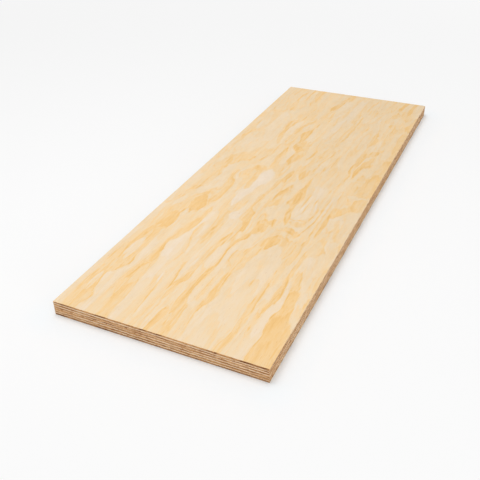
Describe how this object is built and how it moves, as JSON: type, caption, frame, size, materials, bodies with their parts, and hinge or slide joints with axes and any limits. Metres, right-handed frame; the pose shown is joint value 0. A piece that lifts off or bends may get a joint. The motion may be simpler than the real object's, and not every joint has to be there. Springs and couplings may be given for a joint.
{
  "type": "plywood sheet",
  "caption": "Flat rectangular sheet of sanded softwood plywood, laid up from cross-grained veneers that show as stripes on every sawn edge.",
  "frame": {"origin": "centre of the underside, where the sheet rests on the floor", "axes": "+Y along the face grain, the long way of the sheet; +X across it; +Z through the thickness, towards the face veneer"},
  "size_m": [0.25, 0.7, 0.018],
  "materials": {
    "face_pine": "sanded, unfinished",
    "centre_pine": "sawn edge, end grain at the short ends",
    "crossband_pine": "sawn edge, end grain at the long edges"
  },
  "bodies": {
    "root": {"face_veneer": "face_pine", "crossband_1": "crossband_pine", "centre_veneer_1": "centre_pine", "crossband_2": "crossband_pine", "centre_veneer_2": "centre_pine", "crossband_3": "crossband_pine", "centre_veneer_3": "centre_pine", "crossband_4": "crossband_pine", "centre_veneer_4": "centre_pine", "crossband_5": "crossband_pine", "back_veneer": "face_pine"}
  },
  "joints": []
}
